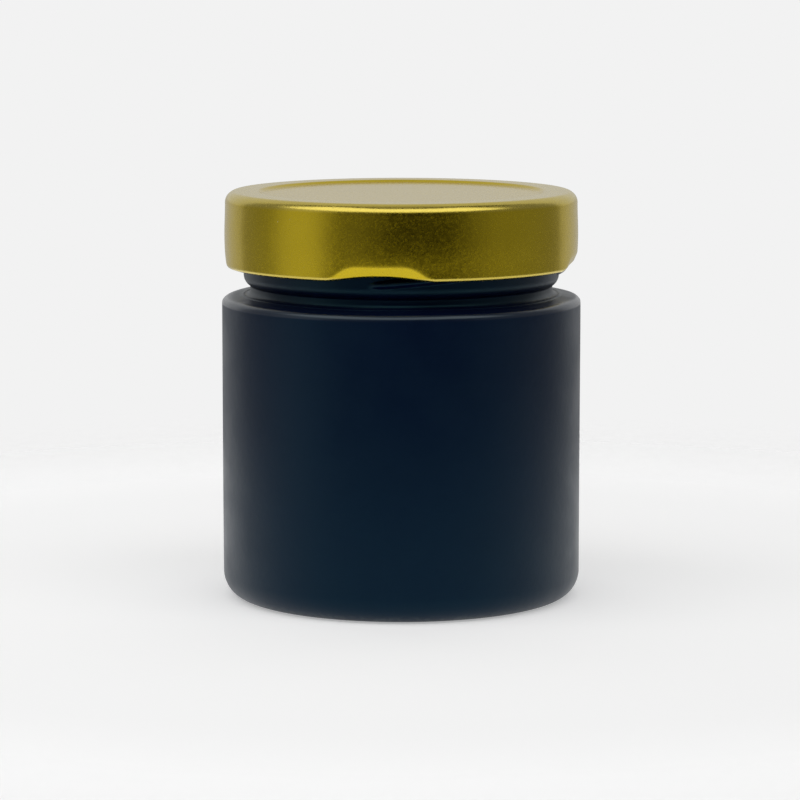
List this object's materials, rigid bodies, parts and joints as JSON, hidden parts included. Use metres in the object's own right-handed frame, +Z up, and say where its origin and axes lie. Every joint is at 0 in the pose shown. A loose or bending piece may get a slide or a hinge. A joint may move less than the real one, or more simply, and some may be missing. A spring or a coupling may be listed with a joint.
{
  "type": "container candle",
  "caption": "Container candle in a matt dark coated glass jar with a deep gold twist-off lug cap; wax and a tabbed wick inside.",
  "frame": {"origin": "centre of the ring that the jar stands on", "axes": "+Z up along the jar's axis, -Y to the front, where one of the cap's lugs sits"},
  "size_m": [0.071, 0.071, 0.0805],
  "materials": {
    "coated_glass": "matt blue-black sprayed coating on glass, opaque",
    "gold_tinplate": "satin gold lacquer on tinplate",
    "sealing_compound": "soft matt compound",
    "wax": "smooth soft wax with a slight sheen",
    "wick_cotton": "waxed cotton braid",
    "tab_steel": "bright tinned steel",
    "sticker_foam": "white foam with adhesive faces"
  },
  "bodies": {
    "jar": {"glass_jar": "coated_glass", "wax_fill": "wax", "wick": "wick_cotton", "wick_tab": "tab_steel", "wick_sticker": "sticker_foam"},
    "seal": {"sealing_ring": "sealing_compound"},
    "cap": {"lid_shell": "gold_tinplate"}
  },
  "joints": [
    {"name": "lid_rise", "type": "slide", "parent": "jar", "child": "seal", "axis": [0, 0, 1], "range_m": [0, 0.0213]},
    {"name": "lid_twist", "type": "hinge", "parent": "seal", "child": "cap", "pos_m": [0, 0, 0.0729], "axis": [0, 0, 1], "range_deg": [0, 450]}
  ],
  "couplings": [
    {"joint": "lid_rise", "follows": "lid_twist", "m_per_rad": 0.0027056}
  ]
}
